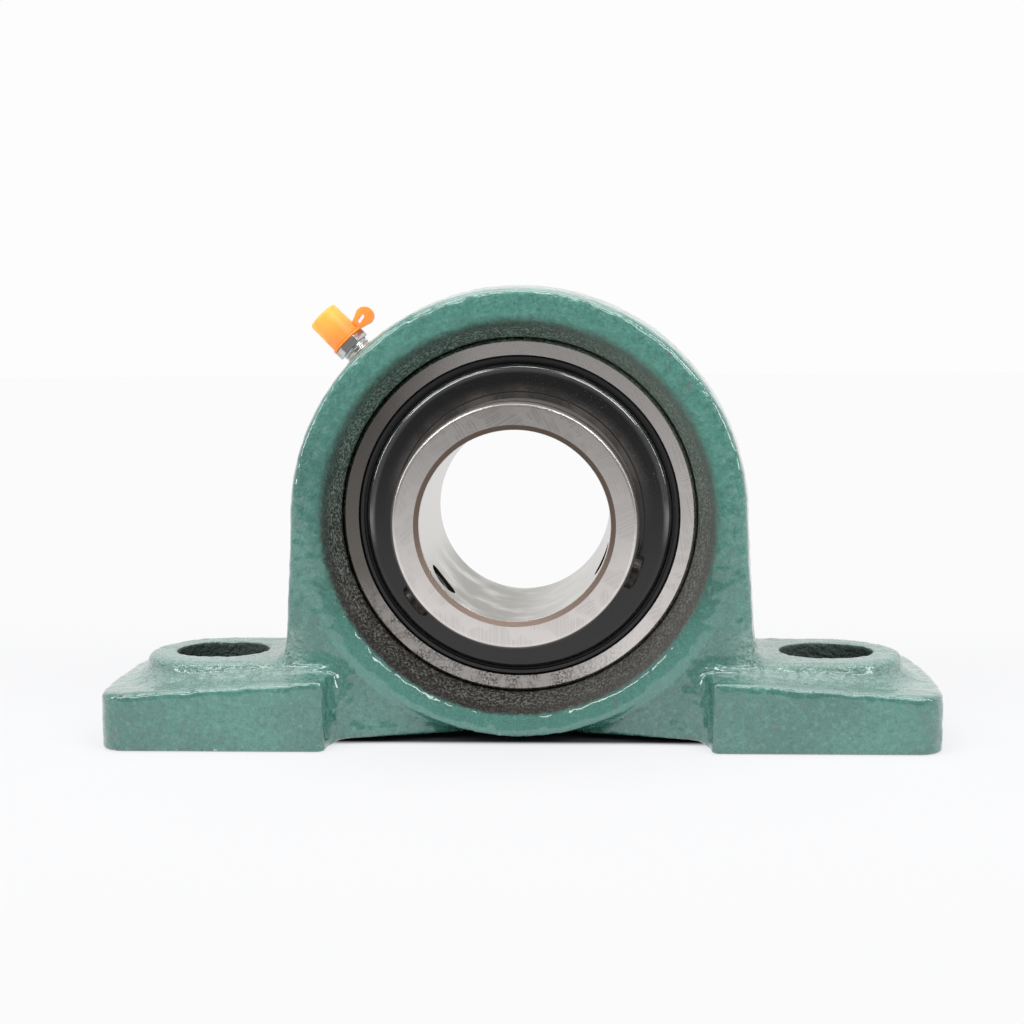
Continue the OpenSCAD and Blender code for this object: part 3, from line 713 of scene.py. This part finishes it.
def make_skin_tree():
    inputs = {"Rounding": ("NodeSocketInt", 5), "Arch rounding": ("NodeSocketInt", 8),
              "Lip rounding": ("NodeSocketInt", 45), "Filling": ("NodeSocketInt", 60),
              "Lump depth": ("NodeSocketFloat", 0.4 * MM), "Grain depth": ("NodeSocketFloat", 0.4 * MM),
              "Seed": ("NodeSocketFloat", 4.0), "Seat relief": ("NodeSocketFloat", 0.12 * MM),
              "Finish": ("NodeSocketMaterial", None)}
    tree, wires = start_tree("casting_skin", **inputs)
    shape = wires["Geometry"]
    place = Wire(tree.nodes.new("GeometryNodeInputPosition").outputs[0])
    normal = Wire(tree.nodes.new("GeometryNodeInputNormal").outputs[0])
    near_slot = step(slot_reach(place), SLOT_RADIUS + 2.2 * MM, SLOT_RADIUS + 1.0 * MM)
    sockets = {"Value": place, "Iterations": wires["Rounding"], "Weight": 1 - near_slot}
    rounded = shape.node("GeometryNodeBlurAttribute", {"data_type": "FLOAT_VECTOR"}, sockets)
    sockets["Iterations"] = wires["Filling"]
    filled = shape.node("GeometryNodeBlurAttribute", {"data_type": "FLOAT_VECTOR"}, sockets)
    for title, area in (("Arch rounding", arch_front(place)), ("Lip rounding", lower_lip(place))):
        sockets = {"Value": rounded, "Iterations": wires[title], "Weight": area}
        rounded = shape.node("GeometryNodeBlurAttribute", {"data_type": "FLOAT_VECTOR"}, sockets)
    rise = shape.node("ShaderNodeVectorMath", {"operation": "SUBTRACT"}, {0: filled, 1: rounded})
    rise = shape.node("ShaderNodeVectorMath", {"operation": "DOT_PRODUCT"}, {0: rise, 1: normal}, out="Value")
    x, _, z = split(place)
    feet = step(abs(x), 43 * MM, 49 * MM)
    hollow = step(shaft_radius(place), 47 * MM, 48.2 * MM) * step(z, 22 * MM, 15 * MM)
    rise = rise.math("MAXIMUM", rise, 0.0) * feet.math("MAXIMUM", feet, hollow)
    rise = shape.node("ShaderNodeVectorMath", {"operation": "SCALE"}, {0: normal, "Scale": rise})
    sockets = {"Geometry": shape, "Position": rounded, "Offset": rise}
    smooth = shape.node("GeometryNodeSetPosition", {}, sockets)
    sockets = {"Vector": place, "W": wires["Seed"], "Scale": 1 / LUMP_SIZE, "Detail": 2.0}
    lumps = shape.node("ShaderNodeTexNoise", {"noise_dimensions": "4D"}, sockets)
    sockets["Scale"] = 1 / GRAIN_SIZE
    grain = shape.node("ShaderNodeTexNoise", {"noise_dimensions": "4D"}, sockets)
    cast = step(z, 0.3 * MM, 1.5 * MM)
    seat = step(shaft_radius(place), SEAT_RADIUS, SEAT_RADIUS - 0.3 * MM)
    depth = (lumps - 0.8) * wires["Lump depth"] + (grain - 0.8) * wires["Grain depth"]
    depth = depth * cast * (1 - seat) - wires["Seat relief"] * seat
    offset = shape.node("ShaderNodeVectorMath", {"operation": "SCALE"}, {0: normal, "Scale": depth})
    pressed = shape.node("GeometryNodeSetPosition", {}, {"Geometry": smooth, "Offset": offset})
    end_tree(pressed, wires["Finish"])
    return tree


skin_tree = make_skin_tree()
casting = new_piece("housing_casting", merged_copy("housing"))
add_modifier(casting, "REMESH", mode="VOXEL", voxel_size=SKIN_VOXEL)
run_tree(casting, skin_tree, Finish=enamel)
make_plain(casting)
print("casting has", len(casting.data.polygons), "faces")

# %% [markdown]
# ## Where paint chips
# A chip needs an edge. At each corner of the mesh the middle of its neighbours lies below
# the surface where the casting is convex and above it where it is hollow. That distance,
# kept as an attribute, tells the enamel where the edges are.


# %% Edge attribute
def mark_edges(mesh, full_mm):
    """Writes an edge attribute: 0 on flat or hollow skin, 1 where it bulges by the full amount."""
    count = len(mesh.vertices)
    corners = np.zeros(count * 3)
    normals = np.zeros(count * 3)
    pairs = np.zeros(len(mesh.edges) * 2, int)
    mesh.vertices.foreach_get("co", corners)
    mesh.vertices.foreach_get("normal", normals)
    mesh.edges.foreach_get("vertices", pairs)
    corners, normals, pairs = corners.reshape(-1, 3), normals.reshape(-1, 3), pairs.reshape(-1, 2)
    total, links = np.zeros((count, 3)), np.zeros(count)
    for near, far in ((pairs[:, 0], pairs[:, 1]), (pairs[:, 1], pairs[:, 0])):
        np.add.at(total, near, corners[far])
        np.add.at(links, near, 1)
    bulge = ((corners - total / links[:, None]) * normals).sum(1)
    edge = mesh.attributes.new("edge", "FLOAT", "POINT")
    edge.data.foreach_set("value", np.clip(bulge / (full_mm * MM), 0, 1).astype(np.float32))
    return bulge


bulge = mark_edges(casting.data, 0.08)
casting.data.shade_smooth()
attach(casting, "housing")
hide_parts("housing")
print("edges bulge up to", round(float(bulge.max()) / MM, 3), "mm")

# %% [markdown]
# ## The bearing's rings, balls and cage
# These are already the right shape. Each gets a merged copy whose shading breaks at real
# edges. Weighted normals let the large faces rule the shading, so that flat ground steel
# looks flat right up to its rounded corner.

# %% Dressed copies
SHARP_ANGLE = math.radians(32)


def dress(node, body, finish, name, soften_mm=0.0):
    """A smooth-shaded copy of a CAD node in a finish, which stands for the node."""
    mesh = merged_copy(node, flatten=soften_mm > 0)
    mesh.materials.append(finish)
    mesh.shade_smooth()
    mesh.set_sharp_from_angle(angle=SHARP_ANGLE)
    piece = new_piece(name, mesh)
    if soften_mm:
        add_modifier(piece, "BEVEL", width=soften_mm * MM, segments=3,
                     limit_method="ANGLE", angle_limit=SHARP_ANGLE)
    add_modifier(piece, "WEIGHTED_NORMAL", keep_sharp=True)
    make_plain(piece)
    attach(piece, body)
    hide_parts(node)
    return piece


dress("inner_ring", "inner_ring", inner_steel, "inner_ring_ground")
dress("outer_ring", "outer_ring", outer_steel, "outer_ring_ground")
for end in ("front", "rear"):
    dress(f"seal_{end}", "outer_ring", seal_rubber, f"seal_{end}_moulded")
    dress(f"slinger_{end}", "inner_ring", slinger_black, f"slinger_{end}_coated")
    dress(f"cage_{end}", "cage", cage_steel, f"cage_{end}_pressed")
for index in range(1, 10):
    dress(f"ball_{index}", f"ball_{index}", ball_steel, f"ball_{index}_lapped")
    dress(f"rivet_{index}", "cage", cage_steel, f"rivet_{index}_headed")

# %% [markdown]
# ## Screws, nipple and cap
# Small turned and moulded pieces have a slight radius on every edge, and it is that radius
# that catches the light. A bevel gives it to them. The check spring shortens when grease lifts
# the ball; here it keeps its shape and gets a mesh of its own.

# %% Softened pieces
for index in (1, 2):
    screw = f"set_screw_{index}"
    dress(screw, screw, black_oxide, f"{screw}_cup_point", soften_mm=0.12)
dress("grease_nipple", "housing", zinc_plate, "grease_nipple_plated", soften_mm=0.12)
dress("check_ball", "check_ball", ball_steel, "check_ball_lapped")
spring = dress("check_spring", "housing", spring_steel, "check_spring_wound")
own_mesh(spring)
dress("dust_cap", "dust_cap", cap_plastic, "dust_cap_moulded", soften_mm=0.14)
dress("cap_tether", "housing", cap_plastic, "cap_tether_moulded", soften_mm=0.12)

# %% [markdown]
# ## The nipple's thread
# Under the hexagon a little of the thread still shows above the casting. A thread is a ridge
# that climbs round a core, so a tree sweeps a small profile along a spiral and stands the
# spiral on the nipple's axis.

# %% Thread tree
THREAD_FOOT = 50.75 * MM
THREAD_CORE = 2.98 * MM


def make_thread_tree():
    inputs = {"Core": ("NodeSocketFloat", THREAD_CORE), "Height": ("NodeSocketFloat", 1.62 * MM),
              "Turns": ("NodeSocketFloat", 2.0), "Ridge": ("NodeSocketFloat", 0.26 * MM),
              "Foot": ("NodeSocketVector", None), "Turn": ("NodeSocketVector", None),
              "Finish": ("NodeSocketMaterial", None)}
    tree, wires = start_tree("climbing_thread", **inputs)
    shape = wires["Geometry"]
    sockets = {"Resolution": 96, "Rotations": wires["Turns"], "Start Radius": wires["Core"],
               "End Radius": wires["Core"], "Height": wires["Height"]}
    path = shape.node("GeometryNodeCurveSpiral", {}, sockets)
    profile = shape.node("GeometryNodeCurvePrimitiveCircle", {}, {"Resolution": 6, "Radius": wires["Ridge"]})
    sockets = {"Curve": path, "Profile Curve": profile, "Fill Caps": True}
    ridge = shape.node("GeometryNodeCurveToMesh", {}, sockets)
    smooth = shape.node("GeometryNodeSetShadeSmooth", {}, {"Geometry": ridge, "Shade Smooth": True})
    sockets = {"Geometry": smooth, "Translation": wires["Foot"], "Rotation": wires["Turn"]}
    end_tree(shape.node("GeometryNodeTransform", {}, sockets), wires["Finish"])
    return tree


thread = new_piece("nipple_thread", bpy.data.meshes.new("nipple_thread"))
tilt = Vector((0, 0, 1)).rotation_difference(NIPPLE_AXIS).to_euler()
foot = NIPPLE_FOOT + NIPPLE_AXIS * THREAD_FOOT
run_tree(thread, make_thread_tree(), Foot=tuple(foot), Turn=tuple(tilt), Finish=zinc_plate)
make_plain(thread)
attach(thread, "housing")
print("thread has", len(thread.data.polygons), "faces")

# %% [markdown]
# ## The studio
# A pale floor keeps the shadow and fades to white round it. Right under the part the floor's
# colour is painted dark, as painted shadow. What gloss sees matters more than what lights the
# part: behind the camera the room is grey, so the ground steel mirrors a darker room above and
# a bright floor below. The Light Path node tells the shaders which kind of ray looks, so the
# background is white without more light on the part.

# %% Floor and world
FLOOR_SIDE = 8.0
FLOOR_WHITE = paint(240, 241, 243)
FLOOR_DULL = paint(237, 238, 240)
FLOOR_LIT = paint(251, 251, 252)
SHADOW_LIFT = 0.75
FOOT_X, FOOT_Y = 92.3 * MM, 26.5 * MM
FADE_END = 160 * MM
LIFT_START, LIFT_END = -12 * MM, -7.5 * MM
SHADOW_START, SHADOW_END = -8.5 * MM, -12 * MM
SHADOW_UNDER_PART = paint(70, 70, 74)
ROOM_GREY = paint(140, 140, 140)
AMBIENT = (0.1, 0.1, 0.1, 1.0)
WHITE = paint(253, 253, 253)


def light_path(place, kinds):
    """The largest of these kinds of ray, as a mask."""
    path = place.socket.id_data.nodes.new("ShaderNodeLightPath")
    rays = Wire(path.outputs[kinds[0]])
    for kind in kinds[1:]:
        rays = rays.math("MAXIMUM", rays, Wire(path.outputs[kind]))
    return rays


def make_floor_finish():
    material, place = start_finish("studio_floor")
    x, y, _ = split(place)
    seen = light_path(place, ["Is Camera Ray", "Is Glossy Ray", "Is Transmission Ray"])
    across, along = abs(x) - FOOT_X, abs(y) - FOOT_Y
    reach = across.math("MAXIMUM", across, along)
    lift = SHADOW_LIFT * step(reach, LIFT_START, LIFT_END) + (1 - SHADOW_LIFT) * step(reach, 0.0, FADE_END)
    front = light_path(place, ["Is Glossy Ray"]) * step(y, -0.2, -0.9)
    glow = mix(front, FLOOR_LIT, ROOM_GREY)
    white = place.node("ShaderNodeEmission", {}, {"Color": glow, "Strength": 1.0})
    speckle = mix(noise(place, 40, detail=3), FLOOR_WHITE, FLOOR_DULL)
    # Under the part the floor is painted dark, as painted shadow.
    speckle = mix(step(reach, SHADOW_START, SHADOW_END), speckle, SHADOW_UNDER_PART)
    matt = place.node("ShaderNodeBsdfPrincipled", {}, {"Base Color": speckle, "Roughness": 0.8})
    surface = place.node("ShaderNodeMixShader", {}, {0: seen * lift, 1: matt, 2: white})
    place.node("ShaderNodeOutputMaterial", {}, {"Surface": surface})
    return material


def make_floor():
    half = FLOOR_SIDE / 2
    mesh = bpy.data.meshes.new("studio_floor")
    corners = [(-half, -half, 0), (half, -half, 0), (half, half, 0), (-half, half, 0)]
    mesh.from_pydata(corners, [], [(0, 1, 2, 3)])
    mesh.materials.append(make_floor_finish())
    new_piece("studio_floor", mesh)


def make_world():
    world = bpy.data.worlds.new("studio_world")
    world.use_nodes = True
    world.node_tree.nodes.clear()
    place = Wire(world.node_tree.nodes.new("ShaderNodeTexCoord").outputs["Generated"])
    gloss = light_path(place, ["Is Glossy Ray", "Is Transmission Ray"])
    room = mix(step(split(place)[1], -0.5, 0.3), ROOM_GREY, WHITE)
    colour = mix(light_path(place, ["Is Camera Ray"]), mix(gloss, AMBIENT, room), WHITE)
    sky = place.node("ShaderNodeBackground", {}, {"Color": colour, "Strength": 1.0})
    place.node("ShaderNodeOutputWorld", {}, {"Surface": sky})
    scene.world = world


make_floor()
make_world()
scene.view_settings.view_transform = "Standard"
print("floor and world ready")

# %% [markdown]
# ## The lamps
# A bow of small boxes stands over the front edge, from side to side. It is the key light, and
# draws a line on every edge that is round like the bow: the arch, the mouth and the slinger's
# shoulder. The smaller the boxes, the narrower and brighter that line. Two lower boxes reach
# the lip under the insert, a broad panel overhead whitens what looks up, and a weak box lights
# the back.

# %% Soft boxes
MIDDLE = Vector((0, 0, SHAFT_Z))
BOW_RADIUS = 0.84


def soft_box(name, angle, front, wide, deep, power):
    """An area lamp on a bow round the shaft axis, its width along the bow. Angle 0 is the top."""
    lamp = bpy.data.lights.new(name, "AREA")
    lamp.shape = "RECTANGLE"
    lamp.size, lamp.size_y = wide, deep
    lamp.energy = power
    turn = math.radians(angle)
    along = Vector((math.cos(turn), 0, -math.sin(turn)))
    out = Vector((math.sin(turn) * BOW_RADIUS, -front, math.cos(turn) * BOW_RADIUS))
    axes = (along, out.normalized().cross(along), out.normalized())
    box = bpy.data.objects.new(name, lamp)
    box.matrix_world = Matrix.Translation(MIDDLE + out) @ Matrix(axes).transposed().to_4x4()
    scene.collection.objects.link(box)


for index, angle in enumerate((-72, -48, -24, 0, 24, 48, 72)):
    soft_box(f"bow_box_{index + 1}", angle, front=0.4, wide=0.29, deep=0.13, power=1.15)
for index, angle in enumerate((-36, 36)):
    soft_box(f"front_box_{index + 1}", angle, front=0.95, wide=0.6, deep=0.12, power=1.7)
soft_box("top_panel", 0, front=-0.05, wide=0.9, deep=0.5, power=2.4)
soft_box("back_box", 0, front=-0.45, wide=0.7, deep=0.4, power=1.0)
print("lamps", len(bpy.data.lights))
